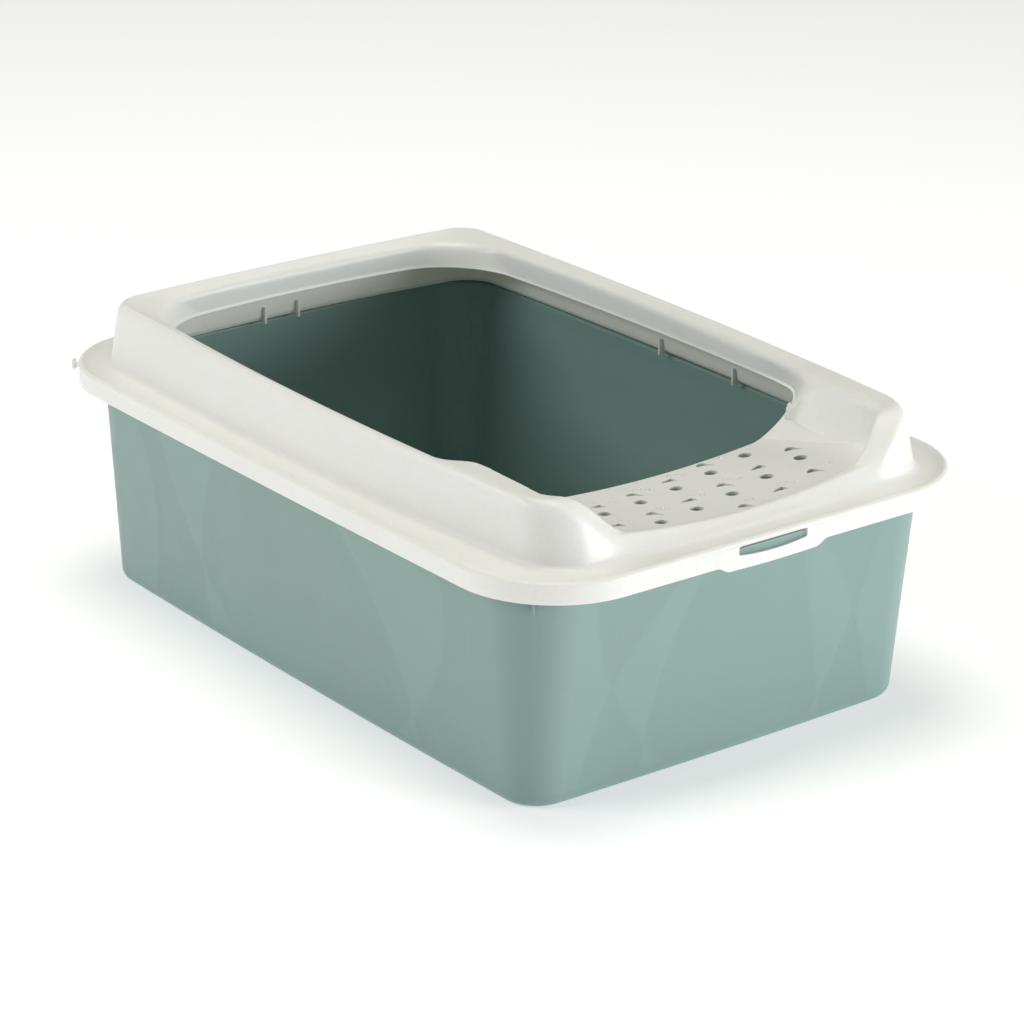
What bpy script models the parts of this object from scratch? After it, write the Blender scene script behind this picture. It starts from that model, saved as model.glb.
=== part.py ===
"""Litter tray with a clip-on high rim, entry step and two spring latches.

Metres, Z up, origin at the middle of the footprint on the floor.
X runs across the tray, the entry end faces -Y.
"""
import math

import bmesh
import bpy
from mathutils import Matrix, Vector

# ---------------------------------------------------------------- sizes
CLEAR = 0.0004          # gap between neighbouring pieces

# flange of the rim: half width, half length, corner radius
FLANGE_X = 0.1830
FLANGE_Y = 0.2800
FLANGE_R = 0.068
FLANGE_BOW = 0.0015
SKIRT_LOW = 0.1480      # lower edge of the skirt
SKIRT_TOP = 0.1594      # where the skirt face turns into the bead
BEAD_TOP = 0.1614
LEDGE_OUT = 0.1606      # ledge height just inside the bead
LEDGE_IN = 0.1618       # ledge height at the foot of the collar
WALL = 0.0020           # moulded wall thickness of the rim

# collar: raised wall that keeps the litter in
BASE_X = 0.1640
BASE_REAR = 0.2500
BASE_FRONT = -0.2640
BASE_R_REAR = 0.022
BASE_R_FRONT = 0.030
BASE_BOW_X = (0.0145, 0.0045)      # how far the sides are drawn in at the front and rear ends
BASE_BOW_REAR = 0.0090
BASE_BOW_FRONT = 0.0048
CREST_Z = 0.2022        # crest height at mid length
CREST_RISE = 0.0062     # crest rises this much per metre towards the rear
CREST_X = 0.1535
CREST_REAR = 0.2395
CREST_FRONT = -0.2450
CREST_R_REAR = 0.017
CREST_R_FRONT = 0.0265
CREST_BOW_X = (0.0085, 0.0057)
CREST_BOW_REAR = 0.0045
CREST_BOW_FRONT = 0.0030
LIP_OUT = 0.0095        # the lowered front stands this much further forward
SHOULDER_X = 0.1449     # inner shoulder of the crest band
SHOULDER_REAR = 0.2300
SHOULDER_R = 0.039
SHOULDER_DROP = 0.0050
OPENING_X = 0.1425      # lower edge of the inner lip
OPENING_REAR = 0.2290
OPENING_R = 0.050
OPENING_Z = 0.1831
OPENING_BOW = 0.0095
INNER_FRONT = -0.2340   # front end of the shoulder and opening outlines
INNER_BOW_X = 0.0100

# entry step at the front
TREAD_Z = 0.1590        # tread height at the middle of its free edge
TREAD_RISE = 0.075      # tread climbs this much per metre towards the front
TREAD_DISH = 0.57       # tread rises by this times x squared
TREAD_REAR = -0.1580    # free edge of the tread
TREAD_FRONT = -0.2490
TREAD_CORNER = 0.036
STEP_X = 0.1310         # inner edge of the flat top beside the step
FOOT_REAR_X = 0.1095    # foot of the side slope, rear and front ends
FOOT_FRONT_X = 0.1235
FOOT_REAR_Y = -0.1610
FOOT_FRONT_Y = -0.2260
RISE_FROM = 0.086       # from here the free edge sweeps up to the opening
DIP_IN = 0.097          # half width of the lowered front
DIP_OUT = 0.137         # half width where the crest is back at full height
FRONT_LIP_Z = 0.1680
LIP_DISH = 0.70

# tread holes: rows of round drains with kidney slots between them
HOLE_START = (-0.0692, -0.2030)
HOLE_STEP = (0.0347, 0.0080)
HOLE_ROW = (0.0177, -0.0328)
SLOT_BEFORE = (-0.0100, -0.0245)
SLOT_BEHIND = (0.0063, 0.0150)
HOLE_D = 0.0085
SLOT_LONG = 0.0125
SLOT_WIDE = 0.0048

# tray
TRAY_TOP_X = 0.1662
TRAY_TOP_Y = 0.2556
TRAY_TOP_R = 0.0390
TRAY_BASE_X = 0.1562
TRAY_BASE_FRONT = -0.2403
TRAY_BASE_REAR = 0.2512
TRAY_BASE_R = 0.0256
TRAY_BOW_X = 0.0028
TRAY_BOW_Y = 0.0021
TRAY_WALL = 0.0020
TRAY_FILLET = 0.008
TRAY_FLANGE_X = 0.1784
TRAY_FLANGE_Y = 0.2754
TRAY_FLANGE_R = 0.064
TRAY_FLANGE_Z = 0.1580

# latches: deeper part of the skirt with a window over a lug of the tray
LATCH_HALF = 0.0440
LATCH_LOW_HALF = 0.0340
LATCH_LOW = 0.1437
LATCH_TOP = 0.1592
WINDOW_HALF = 0.0274
WINDOW_LOW = 0.1508
WINDOW_TOP = 0.1583
LUG_HALF = 0.0262
LUG_LOW = 0.1505
LUG_TOP = 0.1566
LUG_Y = 0.2776

# small features
GUSSET_LOW = 0.1345
GUSSET_T = 0.0018
TAB_T = 0.0018
TAB_LOW = 0.1588
TAB_TOP = 0.1708
TABS_SIDE = (0.0236, -0.0545)
TABS_REAR = (-0.0214, 0.0065)
PEG_WIDE = 0.0036
PEG_REACH = 0.0072

END_N = 12              # steps along a short side
ARC_N = 8               # steps round a corner
# stations along a long side, from the front corner to the rear one
SIDE_AT = (0.032, 0.064, 0.096, 0.128, 0.160, 0.192, 0.230, 0.31, 0.41, 0.51, 0.61, 0.71, 0.81, 0.91)


# ---------------------------------------------------------------- basics
def clear_scene():
    for ob in list(bpy.data.objects):
        bpy.data.objects.remove(ob, do_unlink=True)
    for me in list(bpy.data.meshes):
        bpy.data.meshes.remove(me)


def new_collection(name):
    col = bpy.data.collections.new(name)
    bpy.context.scene.collection.children.link(col)
    return col


def material(name, rgb, rough):
    mat = bpy.data.materials.new(name)
    mat.use_nodes = True
    bsdf = mat.node_tree.nodes["Principled BSDF"]
    bsdf.inputs["Base Color"].default_value = (rgb[0], rgb[1], rgb[2], 1.0)
    bsdf.inputs["Roughness"].default_value = rough
    bsdf.inputs["Metallic"].default_value = 0.0
    mat.diffuse_color = (rgb[0], rgb[1], rgb[2], 1.0)
    return mat


def smooth(t):
    t = min(max(t, 0.0), 1.0)
    return t * t * (3.0 - 2.0 * t)


def add_object(name, bm, col, mat, shade=True):
    me = bpy.data.meshes.new(name)
    bm.to_mesh(me)
    bm.free()
    ob = bpy.data.objects.new(name, me)
    col.objects.link(ob)
    me.materials.append(mat)
    if shade:
        for poly in me.polygons:
            poly.use_smooth = True
    return ob


def bowed(a, front, rear, radius, bow_x, bow_front, bow_rear, arc_front=None):
    """Closed outline from the middle of the +X side, anticlockwise.

    The half sizes hold at mid side; corners are pulled in by the bows.
    bow_x is one number, or a pair for the front and rear halves.
    """
    mid = 0.5 * (front + rear)
    half = 0.5 * (rear - front)
    ends = bow_x if isinstance(bow_x, tuple) else (bow_x, bow_x)
    pts = []
    corners = (
        (1, 1, bow_rear, radius),
        (-1, 1, bow_rear, radius),
        (-1, -1, bow_front, arc_front or radius),
        (1, -1, bow_front, arc_front or radius),
    )
    arcs = []
    for k, (sx, sy, bow, r) in enumerate(corners):
        cx = sx * (a - r)
        cy = sy * (half - bow - r)
        arc = []
        for i in range(ARC_N + 1):
            t = math.radians(90.0 * (k + i / ARC_N))
            arc.append((cx + r * math.cos(t), cy + r * math.sin(t)))
        arcs.append(arc)
    even = [i / END_N for i in range(1, END_N)]
    back = [1.0 - t for t in reversed(SIDE_AT)]
    for k, stations in enumerate((even, back, even, SIDE_AT)):
        pts.extend(arcs[k])
        x0, y0 = arcs[k][-1]
        x1, y1 = arcs[(k + 1) % 4][0]
        for t in stations:
            pts.append((x0 + (x1 - x0) * t, y0 + (y1 - y0) * t))
    out = []
    for x, y in pts:
        bow = bow_rear if y > 0 else bow_front
        fx = 1.0 - ends[y > 0] / a * (y / half) ** 2
        fy = 1.0 + bow / (half - bow) * (1.0 - (x / a) ** 2)
        out.append((x * fx, y * fy + mid))
    return out


def loft(rings, close_bottom=False):
    """Skin a list of closed rings of equal length."""
    bm = bmesh.new()
    rows = [[bm.verts.new(p) for p in ring] for ring in rings]
    n = len(rows[0])
    for lower, upper in zip(rows, rows[1:]):
        for i in range(n):
            j = (i + 1) % n
            bm.faces.new((lower[i], lower[j], upper[j], upper[i]))
    if close_bottom:
        bm.faces.new(list(reversed(rows[0])))
    return bm


def box_mesh(size, matrix):
    bm = bmesh.new()
    bmesh.ops.create_cube(bm, size=1.0)
    bmesh.ops.scale(bm, vec=size, verts=bm.verts)
    bmesh.ops.transform(bm, matrix=matrix, verts=bm.verts)
    return bm


def tool(name, bm, col):
    bmesh.ops.recalc_face_normals(bm, faces=bm.faces)
    me = bpy.data.meshes.new(name)
    bm.to_mesh(me)
    bm.free()
    ob = bpy.data.objects.new(name, me)
    col.objects.link(ob)
    ob.hide_render = True
    ob.display_type = 'WIRE'
    return ob


def boolean(ob, other, kind, name):
    mod = ob.modifiers.new(name, 'BOOLEAN')
    mod.operation = kind
    mod.solver = 'EXACT'
    mod.object = other
    return mod


def shell(ob, thickness):
    mod = ob.modifiers.new("wall", 'SOLIDIFY')
    mod.thickness = thickness
    mod.offset = -1.0
    mod.use_even_offset = False
    mod.use_quality_normals = True
    return mod


# ---------------------------------------------------------------- rim form
def tread_z(x, y):
    return TREAD_Z + TREAD_DISH * x * x + TREAD_RISE * max(TREAD_REAR - y, 0.0)


def dip(x):
    """0 across the lowered front, 1 where the crest is at full height."""
    return smooth((abs(x) - DIP_IN) / (DIP_OUT - DIP_IN))


def crest_z(x, y):
    """Crest height: level along the sides, an S-curve down to the entry."""
    full = CREST_Z + CREST_RISE * y
    if y > -0.20:
        return full
    low = FRONT_LIP_Z + LIP_DISH * x * x
    return low + (full - low) * dip(x)


def crest_ring():
    ring = []
    for x, y in bowed(CREST_X, CREST_FRONT, CREST_REAR, CREST_R_REAR, CREST_BOW_X,
                      CREST_BOW_FRONT, CREST_BOW_REAR, CREST_R_FRONT):
        out = LIP_OUT * (1.0 - dip(x)) if y < -0.20 else 0.0
        ring.append((x, y - out, crest_z(x, y)))
    return ring


def opening_z(x, y):
    if y > -0.10:
        return OPENING_Z
    low = tread_z(x, y)
    return low + (OPENING_Z - low) * smooth((abs(x) - RISE_FROM) / 0.050)


def along(points, s):
    """Point on a polyline at index s, between its corners."""
    i = min(int(s), len(points) - 2)
    f = s - i
    return tuple(p + (q - p) * f for p, q in zip(points[i], points[i + 1]))


def edge_path():
    """Free edge of the tread from the side to the centre line (+X half)."""
    r = TREAD_CORNER
    x1 = OPENING_X - 0.0022
    pts = []
    for i in range(9):
        t = math.radians(90.0 * i / 8)
        pts.append((x1 - r + r * math.cos(t), TREAD_REAR + r - r * math.sin(t)))
    n = 9
    for i in range(1, n + 1):
        pts.append(((x1 - r) * (1 - i / n), TREAD_REAR))
    return pts


def foot_path():
    """Foot of the side slope, then the front edge of the tread (+X half)."""
    r = TREAD_CORNER + 0.0012
    x1 = OPENING_X - 0.0010
    pts = []
    for i in range(5):
        t = math.radians(56.0 * i / 4)
        pts.append((x1 - r + r * math.cos(t), TREAD_REAR + r - 0.0012 - r * math.sin(t)))
    pts.append((FOOT_REAR_X + 0.0004, FOOT_REAR_Y + 0.0006))
    for i in range(1, 5):
        f = i / 4
        pts.append((FOOT_REAR_X + (FOOT_FRONT_X - FOOT_REAR_X) * f,
                    FOOT_REAR_Y + (FOOT_FRONT_Y - FOOT_REAR_Y) * f))
    for i in range(1, 4):
        t = math.radians(90.0 * i / 3)
        pts.append((FOOT_FRONT_X - 0.018 + 0.018 * math.cos(t), FOOT_FRONT_Y - 0.018 * math.sin(t)))
    x2 = FOOT_FRONT_X - 0.018
    for i in range(1, 6):
        x = x2 * (1 - i / 5)
        pts.append((x, TREAD_FRONT + 0.0035 * (x / x2) ** 2))
    return pts


def remap(s, knots):
    """Piecewise linear map through (from, to) pairs."""
    for (a, fa), (b, fb) in zip(knots, knots[1:]):
        if s <= b:
            return fa + (fb - fa) * (s - a) / (b - a)
    return knots[-1][1]


def inner_rings(crest):
    """Shoulder, foot and free-edge rings that belong to a crest ring."""
    wide = bowed(SHOULDER_X, INNER_FRONT, SHOULDER_REAR, SHOULDER_R,
                 INNER_BOW_X, 0.0, 0.0104, 0.024)
    lip = bowed(OPENING_X, INNER_FRONT, OPENING_REAR, OPENING_R,
                OPENING_BOW, 0.0, 0.0100, 0.024)
    n = len(crest)
    start = [i for i in range(n) if crest[i][1] < -0.112]
    first, last = start[0], start[-1]
    half = (last - first) / 2.0
    feet, rims = foot_path(), edge_path()
    to_foot = ((0, 0), (7, 9), (7 + ARC_N, 12), (half, 17))
    to_edge = ((0, 0), (3.2, 5), (half, 17))
    shoulder, foot, edge = [], [], []
    for i, (x, y, z) in enumerate(crest):
        inside = first <= i <= last
        sx, sy = wide[i]
        if not inside:
            shoulder.append((sx, sy, z - SHOULDER_DROP))
            lx, ly = lip[i]
            foot.append((lx * 1.004, ly * 1.003, OPENING_Z + 0.0016))
            edge.append((lx, ly, OPENING_Z))
            continue
        s = half - abs((i - first) - half)
        side = 1.0 if x > 0 else -1.0
        shoulder.append(shoulder_front(x, y, z, sx, sy))
        fx, fy = along(feet, remap(s, to_foot))
        ex, ey = along(rims, remap(s, to_edge))
        foot.append((side * fx, fy, foot_z(fx, fy)))
        edge.append((side * ex, ey, opening_z(ex, ey)))
    return shoulder, foot, edge


def foot_z(x, y):
    if y > TREAD_REAR - 0.0020:
        return opening_z(x, y) + 0.0006
    return tread_z(x, y)


def shoulder_front(x, y, z, sx, sy):
    """Inner edge of the flat top beside and along the entry."""
    side = 1.0 if x > 0 else -1.0
    h = smooth((-0.132 - y) / 0.030)
    px = abs(sx) + (STEP_X - abs(sx)) * h
    pz = z - SHOULDER_DROP * (1.0 - h) - 0.0008 * h
    if y < -0.212:
        px = min(STEP_X, abs(x) * 0.905 + 0.0005)
        return (side * px, y + 0.0042, pz - 0.0004)
    return (side * px, y, pz)


def rim_rings():
    flange = bowed(FLANGE_X, -FLANGE_Y, FLANGE_Y, FLANGE_R, FLANGE_BOW, 0.0004, 0.0004)

    def flange_in(d, z):
        ring = bowed(FLANGE_X - d, -FLANGE_Y + d, FLANGE_Y - d, FLANGE_R - d,
                     FLANGE_BOW, 0.0004, 0.0004)
        return [(x, y, z) for x, y in ring]

    def base_in(d, z):
        ring = bowed(BASE_X - d, BASE_FRONT + d, BASE_REAR - d, BASE_R_REAR - 0.3 * d,
                     BASE_BOW_X, BASE_BOW_FRONT, BASE_BOW_REAR, BASE_R_FRONT - 0.3 * d)
        return [(x, y, z) for x, y in ring]

    crest = crest_ring()
    foot_wall = base_in(0.0012, LEDGE_IN + 0.0016)
    wall_top = []
    for (x, y, z), (bx, by, bz) in zip(crest, foot_wall):
        f = 0.42
        drop = min(0.0042, 0.45 * (z - bz))
        wall_top.append((x + (bx - x) * f, y + (by - y) * f, z - max(drop, 0.0002)))
    low = [(x, y, SKIRT_LOW) for x, y in flange]
    skirt = [(x, y, SKIRT_TOP) for x, y in flange]
    shoulder, foot, edge = inner_rings(crest)
    return [low, skirt, flange_in(0.0014, BEAD_TOP - 0.0003), flange_in(0.0034, BEAD_TOP - 0.0002),
            flange_in(0.0065, LEDGE_OUT), base_in(-0.0022, LEDGE_IN), foot_wall,
            wall_top, crest, shoulder, foot, edge]


def hole_points():
    """Centres of the round drains and of the kidney slots."""
    rounds, slots = [], []
    for k in range(5):
        ax = HOLE_START[0] + k * HOLE_STEP[0]
        ay = HOLE_START[1] + k * HOLE_STEP[1]
        bx = ax + HOLE_ROW[0]
        by = ay + HOLE_ROW[1]
        rounds.append((ax, ay))
        rounds.append((bx, by))
        if k < 4:
            slots.append((ax + SLOT_BEHIND[0], ay + SLOT_BEHIND[1]))
        slots.append((ax + SLOT_BEFORE[0], ay + SLOT_BEFORE[1]))
        if k > 1:
            slots.append((bx + SLOT_BEFORE[0], by + SLOT_BEFORE[1]))
    k = 5
    slots.append((HOLE_START[0] + k * HOLE_STEP[0] + SLOT_BEFORE[0],
                  HOLE_START[1] + k * HOLE_STEP[1] + SLOT_BEFORE[1]))
    return rounds, slots


def holes_tool(col):
    rounds, slots = hole_points()
    turn = math.atan2(HOLE_STEP[1], HOLE_STEP[0])
    bm = bmesh.new()
    for centres, sx, sy, ang in ((rounds, HOLE_D, HOLE_D, 0.0),
                                 (slots, SLOT_LONG, SLOT_WIDE, turn)):
        for x, y in centres:
            mat = (Matrix.Translation((x, y, TREAD_Z)) @ Matrix.Rotation(ang, 4, 'Z')
                   @ Matrix.Diagonal((sx, sy, 1.0, 1.0)))
            bmesh.ops.create_cone(bm, cap_ends=True, segments=12, radius1=0.5,
                                  radius2=0.5, depth=0.040, matrix=mat)
    return tool("tool_tread_holes", bm, col)


def latch_outline(grow):
    """Front view of a latch, x and z, anticlockwise, larger by grow."""
    a = LATCH_HALF + grow
    b = LATCH_LOW_HALF + grow
    top = LATCH_TOP + grow
    return ((-a, SKIRT_LOW), (-b, LATCH_LOW), (b, LATCH_LOW), (a, SKIRT_LOW), (a, top), (-a, top))


def notch_tool(col, side, name):
    """Cuts the skirt where a latch sits."""
    size = (2 * (LATCH_HALF + CLEAR), 0.0080, LATCH_TOP + CLEAR - 0.1400)
    z = 0.5 * (LATCH_TOP + CLEAR + 0.1400)
    return tool(name, box_mesh(size, Matrix.Translation((0, side * 0.2790, z))), col)


def tabs_tool(col):
    """Thin locating blades under the collar, inside the tray wall."""
    bm = bmesh.new()
    high = TAB_TOP - TAB_LOW
    zc = 0.5 * (TAB_TOP + TAB_LOW)
    places = []
    for s in (1, -1):
        for y in TABS_SIDE:
            places.append((s * (BASE_X - 0.0050), y, 0.0042, TAB_T))
    for x in TABS_REAR:
        places.append((x, BASE_REAR - 0.0047, TAB_T, 0.0042))
    for x, y, wx, wy in places:
        part = box_mesh((wx, wy, high), Matrix.Translation((x, y, zc)))
        me = bpy.data.meshes.new("blade")
        part.to_mesh(me)
        part.free()
        bm.from_mesh(me)
        bpy.data.meshes.remove(me)
    return tool("tool_blades", bm, col)


def hook_tool(col):
    """Small upturned peg on the rear corner of the flange."""
    half = 0.5 * PEG_WIDE
    shape = ((-0.0006, 0.1513), (PEG_REACH - 0.0028, 0.1513), (PEG_REACH - 0.0028, 0.1499),
             (PEG_REACH, 0.1499), (PEG_REACH, 0.1573), (PEG_REACH - 0.0028, 0.1573),
             (PEG_REACH - 0.0028, 0.1547), (-0.0006, 0.1547))
    bm = bmesh.new()
    near = [bm.verts.new((u, -half, z)) for u, z in shape]
    far = [bm.verts.new((u, half, z)) for u, z in shape]
    bm.faces.new(near)
    bm.faces.new(list(reversed(far)))
    for i in range(len(shape)):
        j = (i + 1) % len(shape)
        bm.faces.new((near[j], near[i], far[i], far[j]))
    at = Vector((-FLANGE_X + FLANGE_R * 0.305, FLANGE_Y - FLANGE_R * 0.315, 0.0))
    turn = Matrix.Translation(at) @ Matrix.Rotation(math.radians(135), 4, 'Z')
    bmesh.ops.transform(bm, matrix=turn, verts=bm.verts)
    return tool("tool_peg", bm, col)


def make_rim(col, tools, mat):
    ob = add_object("high_rim", loft(rim_rings()), col, mat)
    shell(ob, WALL)
    boolean(ob, tabs_tool(tools), 'UNION', "blades")
    boolean(ob, hook_tool(tools), 'UNION', "peg")
    boolean(ob, holes_tool(tools), 'DIFFERENCE', "tread_holes")
    boolean(ob, notch_tool(tools, -1, "tool_notch_front"), 'DIFFERENCE', "notch_front")
    boolean(ob, notch_tool(tools, 1, "tool_notch_rear"), 'DIFFERENCE', "notch_rear")
    return ob


# ---------------------------------------------------------------- latches
def make_latch(col, tools, mat, side, name):
    """Deeper skirt flap with a window, hinged on its upper edge."""
    pivot = Vector((0.0, side * (FLANGE_Y - 0.001), LATCH_TOP))
    bm = bmesh.new()
    outer = FLANGE_Y
    inner = FLANGE_Y - WALL
    pts = latch_outline(0.0)
    front = [bm.verts.new(Vector((x, side * outer, z)) - pivot) for x, z in pts]
    back = [bm.verts.new(Vector((x, side * inner, z)) - pivot) for x, z in pts]
    n = len(pts)
    bm.faces.new(front)
    bm.faces.new(list(reversed(back)))
    for i in range(n):
        j = (i + 1) % n
        bm.faces.new((front[j], front[i], back[i], back[j]))
    bmesh.ops.recalc_face_normals(bm, faces=bm.faces)
    ob = add_object(name, bm, col, mat, shade=False)
    ob.location = pivot
    size = (2 * WINDOW_HALF, 0.010, WINDOW_TOP - WINDOW_LOW)
    zc = 0.5 * (WINDOW_TOP + WINDOW_LOW)
    win = tool("tool_window_" + name, box_mesh(size, Matrix.Translation((0, side * 0.279, zc))), tools)
    boolean(ob, win, 'DIFFERENCE', "window")
    return ob


# ---------------------------------------------------------------- tray
def tray_ring(s, z, inset=0.0, shrink=0.0):
    """Tray outline at fraction s of the wall height."""
    a = TRAY_BASE_X + (TRAY_TOP_X - TRAY_BASE_X) * s
    front = TRAY_BASE_FRONT + (-TRAY_TOP_Y - TRAY_BASE_FRONT) * s
    rear = TRAY_BASE_REAR + (TRAY_TOP_Y - TRAY_BASE_REAR) * s
    r = TRAY_BASE_R + (TRAY_TOP_R - TRAY_BASE_R) * s
    ring = bowed(a - inset, front + inset, rear - inset, max(r - inset - shrink, 0.010),
                 TRAY_BOW_X, TRAY_BOW_Y, TRAY_BOW_Y)
    return [(x, y, z) for x, y in ring]


def tray_rings():
    rings = []
    f = TRAY_FILLET
    for i in range(5):
        t = math.radians(90.0 * i / 4)
        rings.append(tray_ring(0.0, f - f * math.cos(t), f - f * math.sin(t)))
    for s in (0.35, 0.70):
        rings.append(tray_ring(s, s * 0.148))
    top_s = TRAY_FLANGE_Z / 0.148
    rings.append(tray_ring(top_s - 0.012, TRAY_FLANGE_Z - 0.0018))
    wide = bowed(TRAY_FLANGE_X, -TRAY_FLANGE_Y, TRAY_FLANGE_Y, TRAY_FLANGE_R, 0.0015, 0.0004, 0.0004)
    rings.append([(x, y, TRAY_FLANGE_Z - TRAY_WALL) for x, y in wide])
    return rings


def make_tray(col, tools, mat):
    ob = add_object("litter_tray", loft(tray_rings(), close_bottom=True), col, mat)
    shell(ob, TRAY_WALL)
    bm = bmesh.new()
    depth = LUG_Y - (TRAY_FLANGE_Y - 0.006)
    zc = 0.5 * (LUG_LOW + LUG_TOP)
    parts = []
    for side in (-1, 1):
        y = side * (LUG_Y - 0.5 * depth)
        parts.append(box_mesh((2 * LUG_HALF, depth, LUG_TOP - LUG_LOW), Matrix.Translation((0, y, zc))))
    for sx in (-1, 1):
        for sy in (-1, 1):
            parts.append(gusset_mesh(sx, sy))
    for part in parts:
        me = bpy.data.meshes.new("piece")
        part.to_mesh(me)
        part.free()
        bm.from_mesh(me)
        bpy.data.meshes.remove(me)
    boolean(ob, tool("tool_lugs", bm, tools), 'UNION', "lugs")
    return ob


def gusset_mesh(sx, sy):
    """Upright rib under the tray flange on a corner diagonal."""
    a = TRAY_TOP_X - TRAY_BOW_X - TRAY_TOP_R * 0.293 - 0.004
    b = TRAY_TOP_Y - TRAY_BOW_Y - TRAY_TOP_R * 0.293 - 0.004
    mat = (Matrix.Translation((sx * a, sy * b, 0.0)) @ Matrix.Rotation(math.atan2(sy, sx), 4, 'Z')
           @ Matrix.Translation((0.0078, 0, 0.5 * (GUSSET_LOW + TRAY_FLANGE_Z - 0.001))))
    return box_mesh((0.0064, GUSSET_T, TRAY_FLANGE_Z - 0.001 - GUSSET_LOW), mat)


# ---------------------------------------------------------------- build
def main():
    clear_scene()
    parts = new_collection("cat_litter_box")
    tools = new_collection("cutting_tools")
    white = material("rim_white", (0.83, 0.82, 0.78), 0.42)
    flap = material("latch_white", (0.83, 0.82, 0.78), 0.42)
    green = material("tray_green", (0.30, 0.43, 0.39), 0.48)
    make_tray(parts, tools, green)
    make_rim(parts, tools, white)
    make_latch(parts, tools, flap, -1, "front_latch")
    make_latch(parts, tools, flap, 1, "rear_latch")


main()
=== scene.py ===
"""Looks of the litter tray with its clip-on high rim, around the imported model.

Metres, Z up, origin at the middle of the footprint on the floor.
X runs across the tray, the entry end faces -Y.
"""
import math

import bmesh
import bpy
import numpy as np
from mathutils import Matrix, Vector


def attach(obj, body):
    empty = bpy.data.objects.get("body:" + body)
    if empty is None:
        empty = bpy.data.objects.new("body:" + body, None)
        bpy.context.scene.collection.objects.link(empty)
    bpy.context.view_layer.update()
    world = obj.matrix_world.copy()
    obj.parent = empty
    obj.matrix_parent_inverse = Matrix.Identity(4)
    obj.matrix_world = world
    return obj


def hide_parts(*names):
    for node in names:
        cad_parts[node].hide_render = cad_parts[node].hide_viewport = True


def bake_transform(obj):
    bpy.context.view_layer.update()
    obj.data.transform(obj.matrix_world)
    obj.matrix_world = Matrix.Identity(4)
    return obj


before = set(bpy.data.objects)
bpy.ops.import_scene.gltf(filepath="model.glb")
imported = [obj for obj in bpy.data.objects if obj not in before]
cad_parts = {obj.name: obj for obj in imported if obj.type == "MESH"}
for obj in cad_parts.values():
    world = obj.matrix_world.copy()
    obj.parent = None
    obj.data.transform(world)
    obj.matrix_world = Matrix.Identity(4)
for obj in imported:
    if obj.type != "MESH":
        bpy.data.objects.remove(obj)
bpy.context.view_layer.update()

# ---------------------------------------------------------------- sizes, as in the solids
FLANGE_X, FLANGE_Y, FLANGE_R, FLANGE_BOW = 0.1830, 0.2800, 0.068, 0.0015
FLANGE_BOW_Y = 0.0004
SKIRT_LOW, SKIRT_TOP, BEAD_TOP = 0.1480, 0.1594, 0.1614
LEDGE_OUT, LEDGE_IN = 0.1606, 0.1618
WALL = 0.0020

BASE_X, BASE_REAR, BASE_FRONT = 0.1640, 0.2500, -0.2640
BASE_R_REAR, BASE_R_FRONT = 0.022, 0.030
BASE_BOW_X, BASE_BOW_REAR, BASE_BOW_FRONT = (0.0145, 0.0045), 0.0090, 0.0048
CREST_Z, CREST_RISE = 0.2022, 0.0062
CREST_X, CREST_REAR, CREST_FRONT = 0.1535, 0.2395, -0.2450
CREST_R_REAR, CREST_R_FRONT = 0.017, 0.0265
CREST_BOW_X, CREST_BOW_REAR, CREST_BOW_FRONT = (0.0085, 0.0057), 0.0045, 0.0030
LIP_OUT = 0.0095                        # the lowered front stands this much further forward
SHOULDER_X, SHOULDER_REAR, SHOULDER_R, SHOULDER_DROP = 0.1449, 0.2300, 0.039, 0.0050
OPENING_X, OPENING_REAR, OPENING_R = 0.1425, 0.2290, 0.050
OPENING_Z, OPENING_BOW = 0.1831, 0.0095
INNER_FRONT, INNER_BOW_X = -0.2340, 0.0100
CREASE_AT, CREASE_OUT = 0.56, 0.00035   # faint line part way up the collar

TREAD_Z, TREAD_DISH, TREAD_RISE = 0.1590, 0.57, 0.075
TREAD_REAR, TREAD_FRONT, TREAD_CORNER = -0.1580, -0.2490, 0.036
STEP_X, FOOT_REAR_X, FOOT_FRONT_X = 0.1310, 0.1095, 0.1235
FOOT_REAR_Y, FOOT_FRONT_Y, FOOT_CORNER = -0.1610, -0.2260, 0.018
RISE_FROM, RISE_OVER = 0.086, 0.050     # the free edge sweeps up to the opening over this stretch
DIP_IN, DIP_OUT, FRONT_LIP_Z, LIP_DISH = 0.097, 0.137, 0.1680, 0.70
DIP_FRONT_OF = -0.20                    # the crest only dips in front of this
LEVEL_BEHIND = -0.10                    # the opening's edge is level behind this
TREAD_ENDS_AT = -0.112                  # stations in front of this belong to the tread
BAND_FROM, BAND_OVER = -0.132, 0.030    # the sunk shoulder turns into the flat top beside the step
LIP_FROM, LIP_OVER, LIP_WIDE = -0.206, 0.012, 0.0042
FOOT_STEP = 0.0012                      # the foot line runs this far outside the free edge
SHOULDER_BOW_REAR, OPENING_BOW_REAR, INNER_R_FRONT = 0.0104, 0.0100, 0.024
WALL_BEND, WALL_DROP = 0.42, 0.0042     # where the collar starts to turn over, along and down

HOLE_START, HOLE_STEP, HOLE_ROW = (-0.0692, -0.2030), (0.0347, 0.0080), (0.0177, -0.0328)
SLOT_BEFORE, SLOT_BEHIND = (-0.0100, -0.0245), (0.0063, 0.0150)
HOLE_WIDE, HOLE_DEEP = 0.0092, 0.0086
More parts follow.
